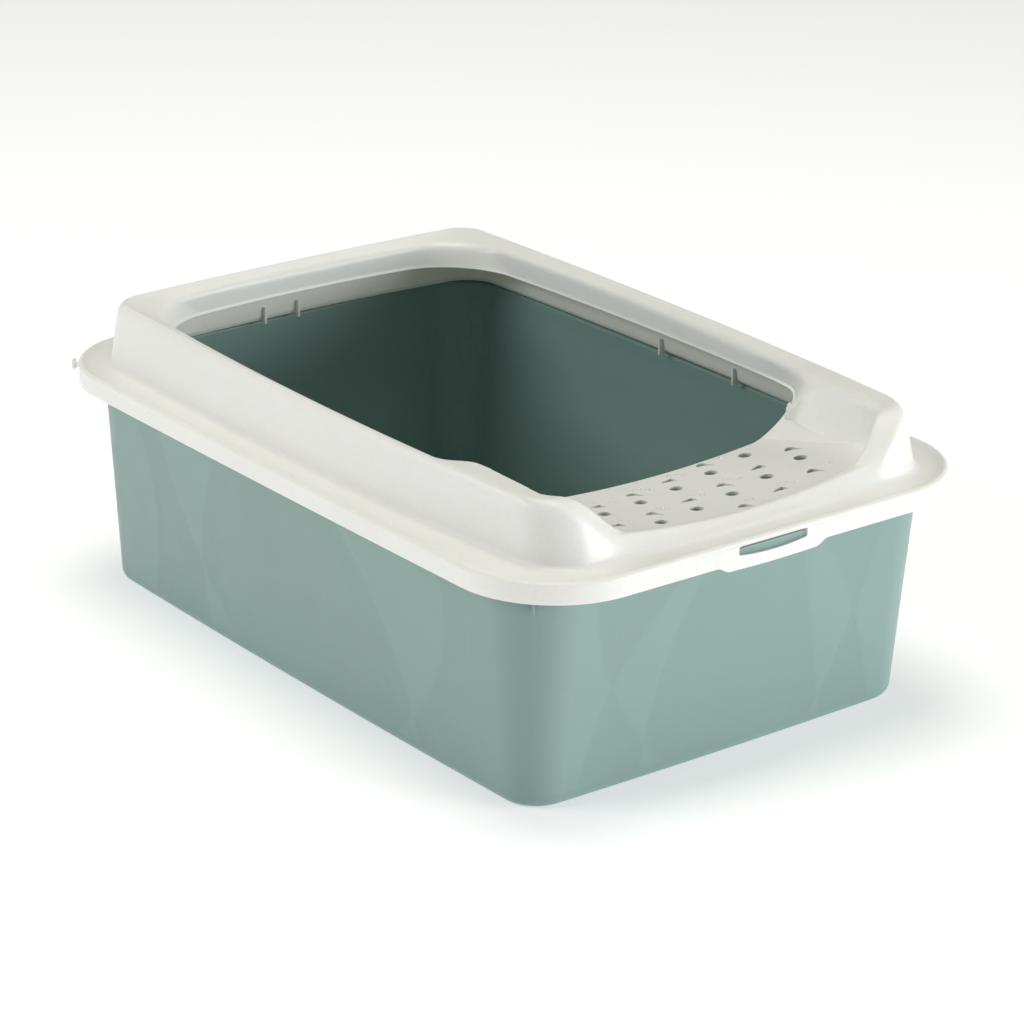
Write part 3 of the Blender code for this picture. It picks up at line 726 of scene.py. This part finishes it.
def make_toes(mat):
    """Raised toe-shaped loops beside each slot of the tread."""
    bm = bmesh.new()
    for x, y, flat in hole_points()[1]:
        base = math.radians(-32.0 if flat else -18.0)
        for k, (along, off, wide, high) in enumerate(((0.0062, 0.0058, 0.0019, 0.0042),
                                                      (0.0102, 0.0036, 0.0019, 0.0044),
                                                      (0.0134, -0.0002, 0.0018, 0.0040))):
            cx, cy = x + along, y + off
            turn = base - math.radians(14.0 * k) + math.radians(24.0)
            pts = []
            for i in range(13):
                t = math.pi * i / 12
                u, v = -wide * math.cos(t), high * math.sin(t) ** 0.8
                px = cx + u * math.cos(turn) - v * math.sin(turn)
                py = cy + u * math.sin(turn) + v * math.cos(turn)
                if abs(px) > 0.118 or py > TREAD_REAR - 0.0010 or py < TREAD_FRONT + 0.004:
                    pts = []
                    break
                pts.append((px, py, tread_z(px, py) + 0.00020))
            if pts:
                bead(bm, pts, 0.00048)
    return add("tread_toe_marks", mesh_from(bm, "toes"), [mat])


# ---------------------------------------------------------------- tray
def tray_ring(spots, s, z, inset=0.0):
    """Tray outline at share s of the tapered height."""
    a = TRAY_BASE_X + (TRAY_TOP_X - TRAY_BASE_X) * s
    front = TRAY_BASE_FRONT + (-TRAY_TOP_Y - TRAY_BASE_FRONT) * s
    rear = TRAY_BASE_REAR + (TRAY_TOP_Y - TRAY_BASE_REAR) * s
    r = TRAY_BASE_R + (TRAY_TOP_R - TRAY_BASE_R) * s
    ring = bowed(spots, a - inset, front + inset, rear - inset, max(r - inset, 0.010),
                 TRAY_BOW_X, TRAY_BOW_Y, TRAY_BOW_Y)
    return level(ring, z)


def leaf_u(leaf, z):
    """Place along the wall of a leaf curve at height z."""
    (u0, z0), (u1, z1), (u2, z2) = leaf
    return (u0 * (z - z1) * (z - z2) / ((z0 - z1) * (z0 - z2))
            + u1 * (z - z0) * (z - z2) / ((z1 - z0) * (z1 - z2))
            + u2 * (z - z0) * (z - z1) / ((z2 - z0) * (z2 - z1)))


def relief(points):
    """Height from 0 to 1 that alternates from one leaf to the next across each curve."""
    x, y, z = points[..., 0], points[..., 1], points[..., 2]
    end = np.abs(y) > 0.226
    sign = np.ones(x.shape)
    on_end = np.where(end & (np.abs(x) < 0.150), 1.0, 0.0)
    for leaf in LEAVES_END:
        side = np.tanh((x * np.where(y < 0, 1, -1) - leaf_u(leaf, z)) / RELIEF_SOFT)
        sign = sign * np.where(on_end > 0, side, 1.0)
    for leaf in LEAVES_SIDE:
        side = np.tanh((y * np.where(x < 0, 1, -1) - leaf_u(leaf, z)) / RELIEF_SOFT)
        sign = sign * np.where(on_end > 0, 1.0, side)
    fade = np.clip(z / 0.012, 0, 1) * np.clip((0.146 - z) / 0.010, 0, 1)
    corner = (np.clip((0.150 - np.abs(x)) / 0.010, 0, 1) * end
              + np.clip((0.226 - np.abs(y)) / 0.010, 0, 1) * ~end)
    return (0.5 + 0.5 * sign) * fade * corner


def make_tray(mat):
    """Tapered tray with a rounded bottom, a flange and a leaf relief on the walls, the raised leaves also
    painted lighter as shade.
    """
    spots = even_stations(28, 150, 230)
    f = TRAY_FILLET
    bottom = []
    for i in range(9):
        t = math.radians(90.0 * i / 8)
        bottom.append(tray_ring(spots, 0.0, f - f * math.cos(t), f - f * math.sin(t)))
    top_s = TRAY_FLANGE_Z / TRAY_TAPER_Z - 0.012
    wall = [tray_ring(spots, s, z) for s, z in
            ((top_s * i / 72, f + (TRAY_FLANGE_Z - 0.0018 - f) * i / 72) for i in range(1, 73))]
    wide = bowed(spots, TRAY_FLANGE_X, -TRAY_FLANGE_Y, TRAY_FLANGE_Y, TRAY_FLANGE_R,
                 FLANGE_BOW, FLANGE_BOW_Y, FLANGE_BOW_Y)
    lip = level(wide, TRAY_FLANGE_Z - TRAY_WALL)
    outer = np.array([*bottom, *wall])
    wall_n = grid_normals(outer)
    raised = relief(outer)
    raised[:len(bottom)] = 0.0
    shaped = outer + wall_n * (raised * RELIEF_HIGH - 0.5 * RELIEF_HIGH * (raised > 0))[:, :, None]
    # flange: a small cove under it, a rounded outer edge, and a rolled inner edge
    under = section([outer[-1] - [0, 0, 0.0012], outer[-1] + [0, 0, 0.0002], lip],
                    [0, 0.0022, 0], [0, 5, 0], [1, 5])
    inside = tray_ring(spots, top_s, TRAY_FLANGE_Z, TRAY_WALL)
    lip_top = level(wide, TRAY_FLANGE_Z)
    tip = np.zeros_like(lip)
    tip[:, :2] = (wide - wide.mean(axis=0)) * 0.0016
    over = section([lip_top, inside, outer[-1] - wall_n[-1] * TRAY_WALL - [0, 0, 0.010]],
                   [0, 0.0020, 0], [0, 6, 0], [4, 3])
    inner_wall = []
    for i in range(12, -1, -1):
        s = top_s * i / 12 * 0.93
        z = f + (TRAY_FLANGE_Z - 0.0018 - f) * i / 12 * 0.93
        inner_wall.append(tray_ring(spots, s, z, TRAY_WALL))
    inner_floor = []
    g = f - TRAY_WALL
    for i in range(7, -1, -1):
        t = math.radians(90.0 * i / 8)
        inner_floor.append(tray_ring(spots, 0.0, f - g * math.cos(t), TRAY_WALL + g - g * math.sin(t)))
    rows = [*shaped[:-1], *under[1:], *edge_rows(lip, lip_top, tip), *over, *inner_wall[1:], *inner_floor]
    me = skin("tray", np.array(rows), cap_first=True, cap_last=True)
    ob = add("litter_tray_shell", me, [mat], angle=40.0)
    # painted shade: the raised leaves are painted lighter, standing in for the light on their tilted faces
    painted_shade = np.zeros(len(me.vertices), np.float32)
    painted_shade[:raised.size] = raised.ravel()
    painted_shade[raised.size - raised.shape[1]:raised.size] = 0.0
    me.attributes.new("leaf_facet_shade", 'FLOAT', 'POINT').data.foreach_set("value", painted_shade)
    return ob


def make_lugs(mat):
    """Catches under the flange, behind the latch windows."""
    bm = bmesh.new()
    depth = LUG_Y - (TRAY_FLANGE_Y - 0.006)
    zc, high = 0.5 * (LUG_LOW + LUG_TOP), LUG_TOP - LUG_LOW
    for side in (-1, 1):
        at = Matrix.Translation((0, side * (LUG_Y - 0.5 * depth), zc))
        soft_box(bm, (2 * LUG_HALF, depth, high), at, 0.0012, 4)
    return add("tray_lugs", mesh_from(bm, "lugs"), [mat])


def make_gussets(mat):
    """Upright ribs under the flange at the four corners."""
    bm = bmesh.new()
    a = TRAY_TOP_X - TRAY_BOW_X - TRAY_TOP_R * 0.293 - 0.004
    b = TRAY_TOP_Y - TRAY_BOW_Y - TRAY_TOP_R * 0.293 - 0.004
    high = TRAY_FLANGE_Z - 0.001 - GUSSET_LOW
    for sx in (-1, 1):
        for sy in (-1, 1):
            mat4 = (Matrix.Translation((sx * a, sy * b, 0.0)) @ Matrix.Rotation(math.atan2(sy, sx), 4, 'Z')
                    @ Matrix.Translation((GUSSET_AT, 0, 0.5 * (GUSSET_LOW + TRAY_FLANGE_Z - 0.001))))
            soft_box(bm, (GUSSET_LONG, GUSSET_T, high), mat4, 0.0005, 3)
    return add("tray_ribs", mesh_from(bm, "ribs"), [mat])


# ---------------------------------------------------------------- materials
def plastic(name, rgb, rough, grain, grain_scale, light=0.0, painted_shade=None):
    """Moulded plastic: fine grain, slight cloudiness and uneven sheen, plus painted shade that lightens the
    colour wherever a named point attribute is set.
    """
    mat = bpy.data.materials.new(name)
    mat.use_nodes = True
    nt = mat.node_tree
    bsdf = nt.nodes["Principled BSDF"]
    where = nt.nodes.new("ShaderNodeTexCoord")

    def noise(scale, detail):
        node = nt.nodes.new("ShaderNodeTexNoise")
        node.inputs["Scale"].default_value = scale
        node.inputs["Detail"].default_value = detail
        nt.links.new(where.outputs["Object"], node.inputs["Vector"])
        return node.outputs["Fac"]

    def spread(value, low, high):
        node = nt.nodes.new("ShaderNodeMapRange")
        node.inputs["From Min"].default_value, node.inputs["From Max"].default_value = 0.3, 0.7
        node.inputs["To Min"].default_value, node.inputs["To Max"].default_value = low, high
        nt.links.new(value, node.inputs["Value"])
        return node.outputs["Result"]

    def shade(colour, value, low, high):
        node = nt.nodes.new("ShaderNodeHueSaturation")
        node.inputs["Color"].default_value = (*rgb, 1.0)
        if colour is not None:
            nt.links.new(colour, node.inputs["Color"])
        nt.links.new(spread(value, low, high), node.inputs["Value"])
        return node.outputs["Color"]

    colour = shade(None, noise(9.0, 3.0), 0.975, 1.02)
    colour = shade(colour, noise(420.0, 2.0), 0.985, 1.012)
    # painted shade: the point attribute lifts the colour, standing in for light falling on tilted faces
    if painted_shade:
        mark = nt.nodes.new("ShaderNodeAttribute")
        mark.attribute_name = painted_shade
        lift = nt.nodes.new("ShaderNodeMapRange")
        lift.inputs["To Min"].default_value, lift.inputs["To Max"].default_value = 0.985, 1.045
        nt.links.new(mark.outputs["Fac"], lift.inputs["Value"])
        node = nt.nodes.new("ShaderNodeHueSaturation")
        nt.links.new(colour, node.inputs["Color"])
        nt.links.new(lift.outputs["Result"], node.inputs["Value"])
        colour = node.outputs["Color"]
    nt.links.new(colour, bsdf.inputs["Base Color"])
    nt.links.new(spread(noise(55.0, 3.0), rough - 0.05, rough + 0.06), bsdf.inputs["Roughness"])
    bump = nt.nodes.new("ShaderNodeBump")
    bump.inputs["Strength"].default_value = grain
    bump.inputs["Distance"].default_value = 0.0002
    nt.links.new(noise(grain_scale, 2.0), bump.inputs["Height"])
    nt.links.new(bump.outputs["Normal"], bsdf.inputs["Normal"])
    bsdf.inputs["IOR"].default_value = 1.49
    if light:
        bsdf.inputs["Subsurface Weight"].default_value = light
        bsdf.inputs["Subsurface Radius"].default_value = (0.0035, 0.0030, 0.0022)
        bsdf.inputs["Subsurface Scale"].default_value = 1.0
    return mat


# ---------------------------------------------------------------- stage
def make_stage():
    """Plain pale floor."""
    me = bpy.data.meshes.new("floor")
    s = FLOOR_HALF
    me.from_pydata([(-s, -s, 0), (s, -s, 0), (s, s, 0), (-s, s, 0)], [], [(0, 1, 2, 3)])
    floor = bpy.data.objects.new("floor", me)
    bpy.context.scene.collection.objects.link(floor)
    mat = bpy.data.materials.new("floor_white")
    mat.use_nodes = True
    bsdf = mat.node_tree.nodes["Principled BSDF"]
    bsdf.inputs["Base Color"].default_value = (0.93, 0.93, 0.935, 1)
    bsdf.inputs["Roughness"].default_value = 0.9
    bsdf.inputs["Specular IOR Level"].default_value = 0.1
    bsdf.inputs["Emission Color"].default_value = (1, 1, 1, 1)
    bsdf.inputs["Emission Strength"].default_value = FLOOR_GLOW
    me.materials.append(mat)


def area_light(name, at, size, power, colour, target=(0, 0, 0.1)):
    """Rectangular light turned towards target."""
    data = bpy.data.lights.new(name, 'AREA')
    data.shape = 'RECTANGLE'
    data.size, data.size_y = size
    data.energy = power
    data.color = colour
    ob = bpy.data.objects.new(name, data)
    bpy.context.scene.collection.objects.link(ob)
    ob.location = at
    ob.rotation_mode = 'QUATERNION'
    ob.rotation_quaternion = (Vector(target) - Vector(at)).to_track_quat('-Z', 'Y')


def make_lights():
    world = bpy.data.worlds.new("studio")
    world.use_nodes = True
    world.node_tree.nodes["Background"].inputs["Color"].default_value = (1.0, 0.99, 0.96, 1)
    world.node_tree.nodes["Background"].inputs["Strength"].default_value = WORLD
    bpy.context.scene.world = world
    for light in LIGHTS:
        area_light(*light)


def make_camera():
    azimuth, elevation = math.radians(CAMERA_TURN), math.radians(CAMERA_RISE)
    back = Vector((math.sin(azimuth) * math.cos(elevation), -math.cos(azimuth) * math.cos(elevation),
                   math.sin(elevation)))
    data = bpy.data.cameras.new("camera")
    data.lens, data.sensor_width = CAMERA_LENS, 36.0
    data.clip_start, data.clip_end = 0.05, 100.0
    ob = bpy.data.objects.new("camera", data)
    bpy.context.scene.collection.objects.link(ob)
    ob.location = Vector(CAMERA_TARGET) + back * CAMERA_FAR
    ob.rotation_mode = 'QUATERNION'
    ob.rotation_quaternion = (-back).to_track_quat('-Z', 'Y')
    bpy.context.scene.camera = ob


# ---------------------------------------------------------------- build
def main():
    white = plastic("rim_white", (0.89, 0.885, 0.85), 0.38, 0.10, 1500.0, light=0.30)
    # partly real and partly painted shade: the tread is the rim's plastic with a rougher finish, its colour
    # painted greyer to stand in for the shade of its textured face
    matte_painted_shade = plastic("tread_matte_painted_shade", (0.80, 0.80, 0.79), 0.62, 0.30, 1300.0, light=0.08)
    # the tray green carries painted shade on the leaf faces of its walls
    green = plastic("tray_green", (0.236, 0.350, 0.330), 0.40, 0.10, 1400.0, painted_shade="leaf_facet_shade")
    rim = make_rim([white, matte_painted_shade])
    drill_tread(rim)
    notch_skirt(rim)
    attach(rim, "rim")
    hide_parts("high_rim")
    for piece in (make_blades(white), make_peg(white), make_toes(matte_painted_shade)):
        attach(piece, "rim")
    make_latch("front_latch", -1, "latch_front", white)
    make_latch("rear_latch", 1, "latch_rear", white)
    tray = make_tray(green)
    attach(tray, "tray")
    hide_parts("litter_tray")
    for piece in (make_lugs(green), make_gussets(green)):
        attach(piece, "tray")
    bpy.context.scene.view_settings.view_transform = 'Standard'
    make_stage()
    make_lights()
    make_camera()


main()
